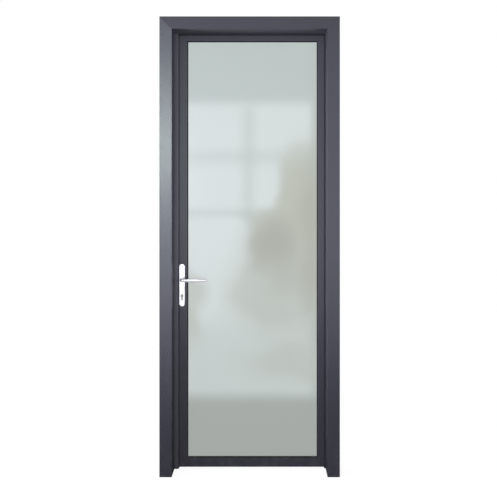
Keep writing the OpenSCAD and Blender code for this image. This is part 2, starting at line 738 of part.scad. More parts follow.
// cuts that the tray and the cover share
module case_holes() {
    rod_y(backset, lever_z, hub_boss_r + run_fit, case_v - cut, case_v + case_t + cut);
    translate([backset, 0, cylinder_z])
        across_depth(case_v - cut, case_v + case_t + cut) cylinder_profile(case_play);
}

module lock_case() color(steel_colour) at_lock_edge() difference() {
    translate([forend_t, case_v, case_z]) cube([case_d, case_t - case_wall, case_h]);
    translate([forend_t + case_wall, room_v, case_z + case_wall])
        cube([case_d - 2 * case_wall, case_t, case_h - 2 * case_wall]);
    case_holes();
    bolt_opening(latch_z, latch_h, 0.3, forend_t - cut, forend_t + case_wall + cut);
    bolt_opening(dead_z, bolt_h, 0.3, forend_t - cut, forend_t + case_wall + cut);
    cam_window(forend_t + case_d - case_wall - cut, forend_t + case_d + cut);
    rod_x(0, 2 * case_wall + forend_t, lock_v, cylinder_screw_z(), screw_hole_r);
}

module lock_case_cover() color(steel_colour) at_lock_edge() difference() {
    translate([forend_t, case_v + case_t - case_wall, case_z]) cube([case_d, case_wall, case_h]);
    case_holes();
}

function cylinder_screw_z() = cylinder_z - cam_r - 5;
function forend_screw_heights() = [for (side = [-1, 1]) forend_z + side * (forend_h / 2 - 10)];

module forend() color(satin_colour) at_lock_edge() difference() {
    translate([0, lock_v, forend_z]) rotate([0, 90, 0]) rotate([0, 0, 90])
        linear_extrude(forend_t) oblong(forend_w, forend_h);
    bolt_opening(latch_z, latch_h, 0.2, -cut, forend_t + cut);
    bolt_opening(dead_z, bolt_h, 0.2, -cut, forend_t + cut);
    for (z = forend_screw_heights()) translate([0, lock_v, z])
        countersunk_hole(screw_hole_r, screw_head_r, forend_t + cut);
    translate([0, lock_v, cylinder_screw_z()]) countersunk_hole(screw_hole_r, screw_head_r, forend_t + cut);
}

// blocks behind the stile's wall that the forend is screwed to
module lock_lugs() color(steel_colour) at_lock_edge() for (z = forend_screw_heights()) difference() {
    translate([wall_t, lock_v - lug_w / 2, z - lug_h / 2]) cube([lug_t, lug_w, lug_h]);
    translate([0, lock_v, forend_z]) rotate([0, 90, 0]) rotate([0, 0, 90])
        linear_extrude(forend_t) oblong(forend_w + 0.2, forend_h + 0.2);
    rod_x(0, lug_t + 2 * wall_t, lock_v, z, screw_r);
}

module forend_screws() color(steel_colour) at_lock_edge() for (z = forend_screw_heights())
    translate([0, lock_v, z]) countersunk_screw(screw_r, screw_head_r, lock_screw_len);

module latch_bolt() color(satin_colour) at_lock_edge() {
    tail_v = lock_v - bolt_t / 2;
    pin_s = backset + pin_dx;
    tail_s = latch_head_len - cut;
    difference() {
        translate([-latch_out, tail_v, latch_z - latch_h / 2])
            cube([latch_out + latch_head_len, bolt_t, latch_h]);
        translate([-latch_out, tail_v, latch_z]) rotate([0, 0, 45])
            cube([bolt_t, 2 * bolt_t, 2 * latch_h], center = true);
    }
    translate([tail_s, tail_v, latch_z - latch_h / 2 + arm_r])
        cube([pin_s + arm_r + close_fit - tail_s, tail_t, tail_h]);
    rod_y(pin_s, lever_z + pin_dz, arm_r, tail_v + tail_t - close_fit, tail_v + bolt_t - close_fit);
}

module dead_bolt() color(satin_colour) at_lock_edge() {
    translate([0, lock_v - bolt_t / 2, dead_z - bolt_h / 2]) cube([dead_len, bolt_t, bolt_h]);
    tail_z = cylinder_z + cam_r + 2 * cam_play;
    translate([dead_len - 2 * dead_tail_w, lock_v - dead_tail_w / 2, tail_z])
        cube([dead_tail_w, dead_tail_w, dead_z - bolt_h / 2 - tail_z + cut]);
}

// hub with the arm that draws the latch bolt back
module follower() color(steel_colour) at_lock_edge() difference() {
    arm_v = lock_v - 2.5;
    union() {
        rod_y(backset, lever_z, hub_r, room_v + close_fit, room_v + room_t - close_fit);
        rod_y(backset, lever_z, hub_boss_r, case_v, case_v + case_t);
        translate([backset, 0, lever_z]) rotate([0, -135, 0]) {
            translate([0, arm_v, -arm_r]) cube([arm_len - arm_r, follower_arm_t, 2 * arm_r]);
            rod_y(arm_len - arm_r, 0, arm_r, arm_v, arm_v + follower_arm_t);
        }
    }
    spindle_hole(case_v - cut, case_v + case_t + cut);
}

// square hole along Y at the lever axis, in (s, depth, z)
module spindle_hole(v0, v1) translate([backset, (v0 + v1) / 2, lever_z])
    cube([spindle_hole_w, v1 - v0, spindle_hole_w], center = true);

// turns of round wire along X, swept as one closed tube
module latch_spring() color(steel_colour) at_lock_edge() {
    start_s = latch_head_len + close_fit;
    translate([start_s, lock_v + 1, latch_z + latch_h / 2 - spring_r - 1])
        coil(spring_r, spring_wire_r, forend_t + case_d - case_wall - close_fit - start_s, spring_turns);
}

module coil(r, wire_r, length, turns) {
    steps = turns * 12;
    sides = 6;
    rings = [for (i = [0:steps]) let (a = 360 * i / 12) [
        for (j = [0:sides - 1]) let (b = 360 * j / sides, rr = r + wire_r * cos(b)) [
            wire_r + (length - 2 * wire_r) * i / steps + wire_r * sin(b), rr * cos(a), rr * sin(a)
        ]
    ]];
    points = [for (ring = rings) each ring];
    side_faces = [for (i = [0:steps - 1], j = [0:sides - 1]) let (a = i * sides, k = (j + 1) % sides) each [
        [a + j, a + k, a + sides + k], [a + j, a + sides + k, a + sides + j]
    ]];
    start_face = [[for (j = [sides - 1:-1:0]) j]];
    end_face = [[for (j = [0:sides - 1]) steps * sides + j]];
    polyhedron(points, concat(side_faces, start_face, end_face), convexity = 10);
}

// ---------------------------------------------------------------- key cylinder

module cylinder_body() color(brass_colour) at_lock_edge() difference() {
    front = leaf_v - plate_t - plug_proud;
    back = leaf_back_v + plate_t + plug_proud;
    translate([backset, 0, cylinder_z]) across_depth(front, back) cylinder_profile(0);
    rod_y(backset, cylinder_z, plug_r + run_fit, front - cut, back + cut);
    translate([backset - 2 * cyl_r, lock_v - cam_t / 2 - close_fit, cylinder_z - cam_r - close_fit])
        cube([4 * cyl_r, cam_t + 2 * close_fit, 2 * cam_r]);
    rod_x(0, backset + cut, lock_v, cylinder_screw_z(), screw_r);
}

module cylinder_screw() color(steel_colour) at_lock_edge()
    translate([0, lock_v, cylinder_screw_z()]) countersunk_screw(screw_r, screw_head_r, backset);

// one key plug, from its outer face at depth v0 to the cam at depth v1
module key_plug(v0, v1, face_v) difference() {
    rod_y(backset, cylinder_z, plug_r, v0, v1);
    translate([backset, face_v, cylinder_z]) cube([keyway_w, 2 * keyway_depth, keyway_h], center = true);
}

module outer_plug() color(brass_colour) at_lock_edge()
    key_plug(leaf_v - plate_t - plug_proud, lock_v - cam_t / 2, leaf_v - plate_t - plug_proud);

module inner_plug() color(brass_colour) at_lock_edge()
    key_plug(lock_v + cam_t / 2, leaf_back_v + plate_t + plug_proud, leaf_back_v + plate_t + plug_proud);

module cam() color(steel_colour) at_lock_edge() {
    lobe_r = 3.5;
    rod_y(backset, cylinder_z, cyl_r - close_fit, lock_v - cam_t / 2, lock_v + cam_t / 2);
    translate([backset - lobe_r, lock_v - cam_t / 2, cylinder_z - cam_r + lobe_r])
        cube([2 * lobe_r, cam_t, cam_r - lobe_r]);
    rod_y(backset, cylinder_z - cam_r + lobe_r, lobe_r, lock_v - cam_t / 2, lock_v + cam_t / 2);
}

// ---------------------------------------------------------------- handle

// a handle plate from depth v0 to v1 with the bore that the lever's neck turns in
module handle_plate(v0, v1) difference() {
    translate([backset, 0, plate_z]) across_depth(v0, v1) oblong(plate_w, plate_h);
    rod_y(backset, lever_z, neck_r + run_fit, v0 - cut, v1 + cut);
    translate([backset, 0, cylinder_z]) across_depth(v0 - cut, v1 + cut) cylinder_profile(close_fit);
    children();
}

module outer_plate() color(satin_colour) at_lock_edge() handle_plate(leaf_v - plate_t, leaf_v)
    for (side = [-1, 1])
        rod_y(backset, plate_z + side * bolt_reach, screw_r, leaf_v - plate_t + plate_skin, leaf_v + cut);

module inner_plate() color(satin_colour) at_lock_edge() handle_plate(leaf_back_v, leaf_back_v + plate_t)
    for (side = [-1, 1]) translate([backset, leaf_back_v + plate_t, plate_z + side * bolt_reach])
        rotate([0, 0, -90]) countersunk_hole(screw_hole_r, screw_head_r, plate_t + cut);

module plate_bolts() color(steel_colour) at_lock_edge() for (side = [-1, 1])
    translate([backset, leaf_back_v + plate_t, plate_z + side * bolt_reach]) rotate([0, 0, -90])
        countersunk_screw(screw_r, screw_head_r, leaf_t + 2 * plate_t - plate_skin - close_fit);

// a lever: its neck leaves the leaf along -Y, then the bar runs to +X and swells to its middle
module lever() {
    bar_y = -lever_standoff;
    neck_end = plate_t + 12;
    half_t = bar_t / 2;
    rod_y(0, 0, neck_r, -neck_end, -0.5);
    hull() {
        rod_y(0, 0, neck_r, -neck_end, -neck_end + 1);
        translate([1, bar_y + 2, 0]) scale(half_t / 10) sphere(10, $fn = 32);
    }
    hull() {
        translate([1, bar_y + 2, 0]) scale(half_t / 10) sphere(10, $fn = 32);
        translate([lever_len * 0.55, bar_y, 0]) lever_slice(bar_h, bar_t);
    }
    hull() {
        translate([lever_len * 0.55, bar_y, 0]) lever_slice(bar_h, bar_t);
        translate([lever_len * 0.8, bar_y + 0.5, 0]) lever_slice(bar_h * 0.86, bar_t * 0.86);
    }
    hull() {
        translate([lever_len * 0.8, bar_y + 0.5, 0]) lever_slice(bar_h * 0.86, bar_t * 0.86);
        translate([lever_len - 6, bar_y + 1, 0]) scale(0.6) sphere(10, $fn = 32);
    }
}

// thin upright slice of the bar, an oval front to back
module lever_slice(height, thickness) rotate([0, 90, 0]) linear_extrude(0.5) oval(height, thickness);

module oval(height, thickness) polygon([
    for (a = [0:15:345]) [height / 2 * cos(a), thickness / 2 * sin(a)]
]);

module lever_bores() {
    cube([spindle_hole_w, 2 * spindle_reach + 2 * cut, spindle_hole_w], center = true);
    translate([0, -grub_y, -neck_r - cut]) cylinder(r = grub_r, h = neck_r - spindle_w / 2 + cut);
}

module at_lever() translate([axis_x, front_y, lever_z]) children();

module outer_lever() color(satin_colour) at_lever() translate([0, leaf_v, 0]) difference() {
    lever();
    lever_bores();
}

module inner_lever() color(satin_colour) at_lever()
    translate([0, leaf_back_v, 0]) mirror([0, 1, 0]) difference() {
        lever();
        lever_bores();
    }

module spindle() color(steel_colour) at_lever() translate([0, lock_v, 0])
    cube([spindle_w, leaf_t + 2 * spindle_reach, spindle_w], center = true);

module grub_screws() color(steel_colour) at_lever()
    for (v = [leaf_v - grub_y, leaf_back_v + grub_y]) translate([0, v, -neck_r + 0.5]) difference() {
        cylinder(r = grub_r, h = neck_r - 0.5 - spindle_w / 2);
        translate([0, 0, -cut]) cylinder(r = grub_r * 0.5, h = 1 + cut, $fn = 6);
    }

// ---------------------------------------------------------------- the whole door

strike_jamb();
hinge_jamb();
head_jamb();
stop_strip();
back_casing_strike();
back_casing_hinge();
back_casing_head();
frame_corner_keys();
stop_gasket_strike();
stop_gasket_hinge();
stop_gasket_head();
strike_plate();
strike_box();
strike_screws();
hinge_low_frame_wing();
hinge_mid_frame_wing();
hinge_top_frame_wing();
hinge_low_pin();
hinge_mid_pin();
hinge_top_pin();
hinge_frame_screws();
lock_stile();
hinge_stile();
top_rail();
bottom_rail();
leaf_corner_blocks();
corner_block_bolts();
glass_pane();
setting_blocks();
front_glazing_gasket();
back_glazing_gasket();
bead_lock();
bead_hinge();
bead_top();
bead_bottom();
hinge_low_leaf_wing();
hinge_mid_leaf_wing();
hinge_top_leaf_wing();
hinge_leaf_screws();
lock_case();
lock_case_cover();
lock_lugs();
forend();
forend_screws();
outer_plate();
inner_plate();
plate_bolts();
cylinder_body();
cylinder_screw();
outer_lever();
inner_lever();
spindle();
follower();
grub_screws();
latch_bolt();
latch_spring();
outer_plug();
inner_plug();
cam();
dead_bolt();
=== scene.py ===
import json
import math

import bmesh
import bpy
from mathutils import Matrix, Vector


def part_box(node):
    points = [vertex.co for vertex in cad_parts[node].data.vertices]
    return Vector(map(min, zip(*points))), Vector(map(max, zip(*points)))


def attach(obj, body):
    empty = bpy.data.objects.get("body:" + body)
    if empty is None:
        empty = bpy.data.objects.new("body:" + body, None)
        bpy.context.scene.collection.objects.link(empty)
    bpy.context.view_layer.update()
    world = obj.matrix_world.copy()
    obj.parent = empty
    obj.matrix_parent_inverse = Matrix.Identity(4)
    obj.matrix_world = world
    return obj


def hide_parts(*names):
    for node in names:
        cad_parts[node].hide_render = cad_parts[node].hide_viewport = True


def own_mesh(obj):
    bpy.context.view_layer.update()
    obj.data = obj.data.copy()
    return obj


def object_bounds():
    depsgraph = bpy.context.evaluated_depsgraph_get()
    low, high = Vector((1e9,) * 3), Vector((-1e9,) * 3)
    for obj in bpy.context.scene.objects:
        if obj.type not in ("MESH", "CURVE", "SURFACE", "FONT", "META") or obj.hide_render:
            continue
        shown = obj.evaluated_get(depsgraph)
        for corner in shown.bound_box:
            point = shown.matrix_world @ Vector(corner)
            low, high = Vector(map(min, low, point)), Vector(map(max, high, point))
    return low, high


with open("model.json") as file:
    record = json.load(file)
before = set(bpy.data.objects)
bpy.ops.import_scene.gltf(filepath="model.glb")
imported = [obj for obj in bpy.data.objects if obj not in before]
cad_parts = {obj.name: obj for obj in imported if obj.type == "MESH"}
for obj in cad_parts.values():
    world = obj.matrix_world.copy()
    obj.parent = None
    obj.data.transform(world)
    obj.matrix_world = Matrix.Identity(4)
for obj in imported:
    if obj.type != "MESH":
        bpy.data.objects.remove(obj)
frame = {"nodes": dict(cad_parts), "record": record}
cad_low, cad_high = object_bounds()
nodes = frame["nodes"]
slot_of = {row["node"]: row["material_slot"] for row in frame["record"]["subparts"]}

MM = 0.001


# ------------------------------------------------------------ node trees

# The sockets of a Mix node that mixes colours.
MIX_FACTOR, MIX_OFF, MIX_ON, MIX_RESULT = 0, 6, 7, 2


class Graph:
    """A node tree with short calls for adding and joining nodes.

    Each value may be a plain one or an output socket of another node.
    """

    def __init__(self, tree):
        self.tree = tree
        self.tree.nodes.clear()

    def feed(self, socket, value):
        """Joins an input to another node's output, or sets its plain value."""
        if isinstance(value, bpy.types.NodeSocket):
            self.tree.links.new(value, socket)
        else:
            socket.default_value = value

    def add(self, kind, inputs=None, **settings):
        """A new node, its inputs given by name or number."""
        made = self.tree.nodes.new(kind)
        for name, value in settings.items():
            setattr(made, name, value)
        for name, value in (inputs or {}).items():
            self.feed(made.inputs[name], value)
        return made

    def show(self, shader, output="ShaderNodeOutputMaterial"):
        """Makes a shader the one that the material or the world shows."""
        found = [node for node in self.tree.nodes if node.bl_idname == output]
        out = found[0] if found else self.add(output)
        self.feed(out.inputs[0], shader.outputs[0])

    def object_place(self):
        return self.add("ShaderNodeTexCoord").outputs["Object"]

    def noise(self, place, scale, detail, roughness=0.5):
        return self.add("ShaderNodeTexNoise", {
            "Vector": place, "Scale": scale, "Detail": detail, "Roughness": roughness})

    def mix(self, factor, off, on):
        """The colour off where the factor is 0, and on where it is 1."""
        sockets = {MIX_FACTOR: factor, MIX_OFF: off, MIX_ON: on}
        return self.add("ShaderNodeMix", sockets, data_type="RGBA").outputs[MIX_RESULT]

    def choose(self, factor, off, on):
        """The shader off where the factor is 0, and on where it is 1."""
        sockets = {0: factor, 1: off.outputs[0], 2: on.outputs[0]}
        return self.add("ShaderNodeMixShader", sockets)

    def math(self, operation, a, b=0.0):
        return self.add("ShaderNodeMath", {0: a, 1: b}, operation=operation).outputs[0]

    def vector(self, operation, a, b):
        return self.add("ShaderNodeVectorMath", {0: a, 1: b}, operation=operation).outputs[0]

    def remap(self, value, given, wanted=(0.0, 1.0), smooth=False):
        """Carries a value from the given range to the wanted one, and holds it at both ends."""
        sockets = {
            "Value": value, "From Min": given[0], "From Max": given[1],
            "To Min": wanted[0], "To Max": wanted[1]}
        kind = "SMOOTHSTEP" if smooth else "LINEAR"
        return self.add("ShaderNodeMapRange", sockets, interpolation_type=kind).outputs[0]

    def span(self, value, low, high):
        """Stretches a 0 to 1 value over low to high."""
        return self.remap(value, (0.0, 1.0), (low, high))


# ------------------------------------------------------------ effects that finishes share

# How little a hairline changes along its own direction, next to 1 across it.
ALONG_HAIRLINE = 0.02


def shared_group(name, inputs, outputs):
    """An empty node group with number inputs {name: default} and number outputs."""
    tree = bpy.data.node_groups.new(name, "ShaderNodeTree")
    for label, value in inputs.items():
        socket = tree.interface.new_socket(
            label, in_out="INPUT", socket_type="NodeSocketFloat")
        socket.default_value = value
    for label in outputs:
        tree.interface.new_socket(label, in_out="OUTPUT", socket_type="NodeSocketFloat")
    graph = Graph(tree)
    return graph, graph.add("NodeGroupInput").outputs, graph.add("NodeGroupOutput").inputs


def coat_grain_group():
    """Fine pebbling of sprayed powder, with slow drifts of tone over a long profile."""
    pit_scale, fine_share, pit_share = 0.6, 0.6, 0.5
    graph, given, out = shared_group(
        "coat grain", {"Grain Scale": 1500.0, "Cloud Scale": 3.0}, ("Height", "Cloud"))
    place = graph.object_place()
    fine = graph.noise(place, given["Grain Scale"], detail=3.0, roughness=0.55)
    pits = graph.add("ShaderNodeTexVoronoi", {
        "Vector": place, "Scale": graph.math("MULTIPLY", given["Grain Scale"], pit_scale)},
        feature="SMOOTH_F1")
    cloud = graph.noise(place, given["Cloud Scale"], detail=4.0, roughness=0.6)
    height = graph.math("ADD", graph.math("MULTIPLY", fine.outputs[0], fine_share),
                        graph.math("MULTIPLY", pits.outputs["Distance"], pit_share))
    graph.feed(out["Height"], height)
    graph.feed(out["Cloud"], cloud.outputs[0])
    return graph.tree


def hairlines_group():
    """Hairlines of a satin finish, drawn out along the axis whose input is small."""
    graph, given, out = shared_group(
        "satin hairlines",
        {"Along X": 1.0, "Along Y": 1.0, "Along Z": ALONG_HAIRLINE, "Line Scale": 2500.0},
        ("Lines", "Haze"))
    place = graph.object_place()
    stretch = graph.add("ShaderNodeCombineXYZ", {
        axis: given["Along " + axis] for axis in "XYZ"})
    squeezed = graph.vector("MULTIPLY", place, stretch.outputs[0])
    lines = graph.noise(squeezed, given["Line Scale"], detail=5.0, roughness=0.7)
    haze = graph.noise(place, 60.0, detail=3.0)
    graph.feed(out["Lines"], lines.outputs[0])
    graph.feed(out["Haze"], haze.outputs[0])
    return graph.tree


def settled_dust_group():
    """Dust that lies on upward faces and thickens towards the floor."""
    low_share, up_share = 0.35, 0.6
    graph, given, out = shared_group(
        "settled dust", {"Reach": 0.35, "Amount": 0.5}, ("Dust",))
    place = graph.object_place()
    height = graph.add("ShaderNodeSeparateXYZ", {"Vector": place}).outputs["Z"]
    low = graph.math("SUBTRACT", 1.0, graph.math("DIVIDE", height, given["Reach"]))
    low = graph.add("ShaderNodeClamp", {"Value": low}).outputs[0]
    normal = graph.add("ShaderNodeNewGeometry").outputs["Normal"]
    facing = graph.add("ShaderNodeSeparateXYZ", {"Vector": normal}).outputs["Z"]
    up = graph.remap(facing, (0.5, 1.0))
    patch = graph.noise(place, 25.0, detail=6.0, roughness=0.65)
    speck = graph.remap(patch.outputs[0], (0.42, 0.75))
    total = graph.math("ADD", graph.math("MULTIPLY", low, low_share),
                       graph.math("MULTIPLY", up, up_share))
    total = graph.math("MULTIPLY", graph.math("MULTIPLY", total, speck), given["Amount"])
    graph.feed(out["Dust"], total)
    return graph.tree


coat_grain = coat_grain_group()
hairlines = hairlines_group()
settled_dust = settled_dust_group()


# ------------------------------------------------------------ finishes

def new_finish(name, **plain):
    """A material with one Principled shader, its uniform values set on the shader itself."""
    finish = bpy.data.materials.new(name)
    finish.use_nodes = True
    graph = Graph(finish.node_tree)
    shader = graph.add("ShaderNodeBsdfPrincipled")
    graph.show(shader)
    for label, value in plain.items():
        shader.inputs[label.replace("_", " ")].default_value = value
    return finish, graph, shader


def use_group(graph, tree, **values):
    """The outputs of a shared group that is placed with this finish's own values."""
    made = graph.add("ShaderNodeGroup", node_tree=tree)
    for label, value in values.items():
        made.inputs[label.replace("_", " ")].default_value = value
    return made.outputs


def surface(graph, shader, tone, rough, height, depth, strength):
    """Joins a changing colour, roughness and relief to a shader."""
    relief = graph.add("ShaderNodeBump", {
        "Height": height, "Distance": depth, "Strength": strength})
    graph.feed(shader.inputs["Base Color"], tone)
    graph.feed(shader.inputs["Roughness"], rough)
    graph.feed(shader.inputs["Normal"], relief.outputs[0])


def powder_coat(name, dark, light):
    """Semi-gloss sprayed powder between two close tones, dusty near the floor."""
    dusty = (0.23, 0.21, 0.19, 1)
    finish, graph, shader = new_finish(name, IOR=1.5, Specular_IOR_Level=0.5)
    grain = use_group(graph, coat_grain, Grain_Scale=1500.0, Cloud_Scale=3.0)
    dust = use_group(graph, settled_dust, Reach=0.30, Amount=0.35)["Dust"]
    tone = graph.mix(grain["Cloud"], dark, light)
    tone = graph.mix(dust, tone, dusty)
    surface(graph, shader, tone, graph.span(grain["Cloud"], 0.34, 0.42),
            grain["Height"], depth=0.06 * MM, strength=0.5)
    return finish


def black_seal_rubber():
    """Matt black rubber of the seals and gaskets, dusty near the floor."""
    black, worn, dusty = (0.010, 0.010, 0.012, 1), (0.022, 0.022, 0.025, 1), (0.16, 0.15, 0.14, 1)
    finish, graph, shader = new_finish("black_seal_rubber", Specular_IOR_Level=0.35)
    grain = use_group(graph, coat_grain, Grain_Scale=2600.0, Cloud_Scale=18.0)
    dust = use_group(graph, settled_dust, Reach=0.5, Amount=0.5)["Dust"]
    tone = graph.mix(grain["Cloud"], black, worn)
    tone = graph.mix(dust, tone, dusty)
    surface(graph, shader, tone, graph.span(grain["Cloud"], 0.62, 0.80),
            grain["Height"], depth=0.1 * MM, strength=0.6)
    return finish


def satin_metal(name, dark, light, rough, along, line_scale, strength, metallic=1.0):
    """A metal with hairlines along one axis, given as a letter."""
    line_swing, most_haze = 0.07, 0.25
    finish, graph, shader = new_finish(name, Metallic=metallic)
    reach = {"Along_" + axis: (ALONG_HAIRLINE if axis == along else 1.0) for axis in "XYZ"}
    brushed = use_group(graph, hairlines, Line_Scale=line_scale, **reach)
    tone = graph.mix(brushed["Lines"], dark, light)
    tone = graph.mix(graph.span(brushed["Haze"], 0.0, most_haze), tone, dark)
    lines = graph.span(brushed["Lines"], rough - line_swing, rough + line_swing)
    roughness = graph.math("ADD", lines, graph.span(brushed["Haze"], -0.04, 0.06))
    surface(graph, shader, tone, roughness, brushed["Lines"], depth=0.04 * MM, strength=strength)
    return finish


def zinc_plated_steel():
    """Bright zinc: a faint spangle with cool and straw-coloured patches."""
    cool, bright, straw = (0.50, 0.52, 0.55, 1), (0.66, 0.67, 0.69, 1), (0.62, 0.57, 0.45, 1)
    finish, graph, shader = new_finish("zinc_plated_steel", Metallic=1.0)
    place = graph.object_place()
    spangle = graph.add("ShaderNodeTexVoronoi", {
        "Vector": place, "Scale": 450.0}).outputs["Distance"]
    tint = graph.noise(place, 120.0, detail=3.0).outputs[0]
    tone = graph.mix(spangle, cool, bright)
    tone = graph.mix(graph.span(tint, 0.0, 0.4), tone, straw)
    surface(graph, shader, tone, graph.span(spangle, 0.25, 0.42),
            tint, depth=0.05 * MM, strength=0.4)
    return finish


def mill_aluminium():
    """Bare extruded aluminium with saw lines and a mottled sheen."""
    finish, graph, shader = new_finish("mill_aluminium", Metallic=1.0)
    place = graph.object_place()
    saw = graph.add("ShaderNodeTexWave", {
        "Vector": place, "Scale": 260.0, "Distortion": 1.5, "Detail": 2.0},
        bands_direction="X").outputs["Fac"]
    mottle = graph.noise(place, 90.0, detail=4.0).outputs[0]
    tone = graph.mix(saw, (0.58, 0.58, 0.59, 1), (0.72, 0.72, 0.73, 1))
    surface(graph, shader, tone, graph.span(mottle, 0.32, 0.55),
            saw, depth=0.1 * MM, strength=0.3)
    return finish


def frosted_pane():
    """Satin-etched glass: rough all through, with a fine sparkle and slow thickness waves."""
    finish, graph, shader = new_finish(
        "frosted_pane", Transmission_Weight=1.0, IOR=1.5, Metallic=0.0, Specular_IOR_Level=0.5)
    place = graph.object_place()
    etch = graph.noise(place, 1800.0, detail=2.0).outputs[0]
    wave = graph.noise(place, 2.2, detail=2.0).outputs[0]
    tone = graph.mix(wave, (0.93, 0.955, 0.95, 1), (0.95, 0.965, 0.96, 1))
    surface(graph, shader, tone, graph.span(etch, 0.24, 0.34),
            etch, depth=0.03 * MM, strength=0.3)
    return finish


frame_powder = powder_coat(
    "anthracite_powder_coat", dark=(0.034, 0.0345, 0.0455, 1), light=(0.041, 0.0415, 0.054, 1))
# The stop strip's coat is the frame's coat made about twice as light: painted light for the shade
# that the lining casts on the recessed strip.
strip_coat_painted_lighter = powder_coat(
    "stop_strip_coat_painted_lighter", dark=(0.063, 0.064, 0.086, 1), light=(0.074, 0.075, 0.100, 1))
plate_silver = satin_metal(
    "satin_silver", dark=(0.88, 0.88, 0.88, 1), light=(0.96, 0.96, 0.96, 1),
    rough=0.20, along="Z", line_scale=2500.0, strength=0.12, metallic=0.6)
lever_silver = satin_metal(
    "satin_silver_lever", dark=(0.84, 0.84, 0.85, 1), light=(0.95, 0.95, 0.95, 1),
    rough=0.38, along="X", line_scale=2500.0, strength=0.08, metallic=0.7)
satin_steel = satin_metal(
    "satin_steel", dark=(0.52, 0.52, 0.53, 1), light=(0.68, 0.68, 0.69, 1),
    rough=0.32, along="Z", line_scale=1800.0, strength=0.5)
nickel_brass = satin_metal(
    "nickel_plated_brass", dark=(0.40, 0.375, 0.325, 1), light=(0.53, 0.495, 0.435, 1),
    rough=0.30, along="Z", line_scale=3000.0, strength=0.15)
zinc_steel = zinc_plated_steel()

# Each slot's finish, and the radius in millimetres that eases its sharp edges.
finish_of_slot = {
    "powder_coat": (frame_powder, 0.5),
    "black_rubber": (black_seal_rubber(), 0.4),
    "zinc_steel": (zinc_steel, 0.15),
    "satin_steel": (satin_steel, 0.35),
    "satin_silver": (plate_silver, 1.3),
    "mill_aluminium": (mill_aluminium(), 0.4),
    "nickel_brass": (nickel_brass, 0.25),
    "frosted_glass": (frosted_pane(), 0.8),
}


# ------------------------------------------------------------ construction pieces

# These are replaced by pieces made further down.
replaced_later = {"latch_spring", "outer_lever", "inner_lever"}


def ease_edges(node, radius):
    """Rounds the sharp edges, so that they catch the light as machined ones do."""
    weld = node.modifiers.new("weld", "WELD")
    weld.merge_threshold = 0.01 * MM
    flat = node.modifiers.new("flatten", "DECIMATE")
    flat.decimate_type = "DISSOLVE"
    flat.angle_limit = math.radians(0.5)
    ease = node.modifiers.new("ease", "BEVEL")
    ease.width = radius
    ease.segments = 2
    ease.limit_method = "ANGLE"
    ease.angle_limit = math.radians(35)
    ease.harden_normals = True


def finish_construction_pieces():
    """The stop strip alone gets a lighter copy of the frame's coat: painted light for the shade
    that the lining casts on it.
    """
    for name, node in nodes.items():
        finish, radius = finish_of_slot[slot_of[name]]
        node.data.materials.clear()
        node.data.materials.append(strip_coat_painted_lighter if name == "stop_strip" else finish)
        if name not in replaced_later:
            ease_edges(node, radius * MM)


finish_construction_pieces()


# ------------------------------------------------------------ building skins from rings

def as_piece(name, made, finish, closed_skin=False):
    """Turns mesh code into an object; a closed skin faces outwards and is smooth."""
    if closed_skin:
        bmesh.ops.recalc_face_normals(made, faces=made.faces)
    mesh = bpy.data.meshes.new(name)
    made.to_mesh(mesh)
    made.free()
    for face in mesh.polygons:
        face.use_smooth = closed_skin
    mesh.materials.append(finish)
    piece = bpy.data.objects.new(name, mesh)
    bpy.context.scene.collection.objects.link(piece)
    return piece


def bridge(made, rings, round_trip=False):
    """Joins neighbouring rings of points with faces; on a round trip, the last and first too."""
    rows = [[made.verts.new(point) for point in ring] for ring in rings]
    pairs = list(zip(rows, rows[1:]))
    if round_trip:
        pairs.append((rows[-1], rows[0]))
    for a, b in pairs:
        for i in range(len(a)):
            k = (i + 1) % len(a)
            made.faces.new((a[i], a[k], b[k], b[i]))
    return rows


def loft(name, rings, finish):
    """A smooth skin over rings with equal numbers of points, closed at both ends."""
    made = bmesh.new()
    rows = bridge(made, rings)
    made.faces.new(rows[0][::-1])
    made.faces.new(rows[-1])
    return as_piece(name, made, finish, closed_skin=True)


# ------------------------------------------------------------ levers

def oval_ring(middle, side, height, thickness, squareness, count=40):
    """An oval, upright in Z, whose thickness runs along side; squareness 2 is a true oval."""
    power = 2 / squareness
    ring = []
    for i in range(count):
        turn = 2 * math.pi * i / count
        c, s = math.cos(turn), math.sin(turn)
        across = math.copysign(abs(c) ** power, c) * thickness / 2
        up = math.copysign(abs(s) ** power, s) * height / 2
        ring.append(middle + side * across + Vector((0, 0, up)))
    return ring


def smooth_step(value):
    value = min(max(value, 0.0), 1.0)
    return value * value * (3 - 2 * value)


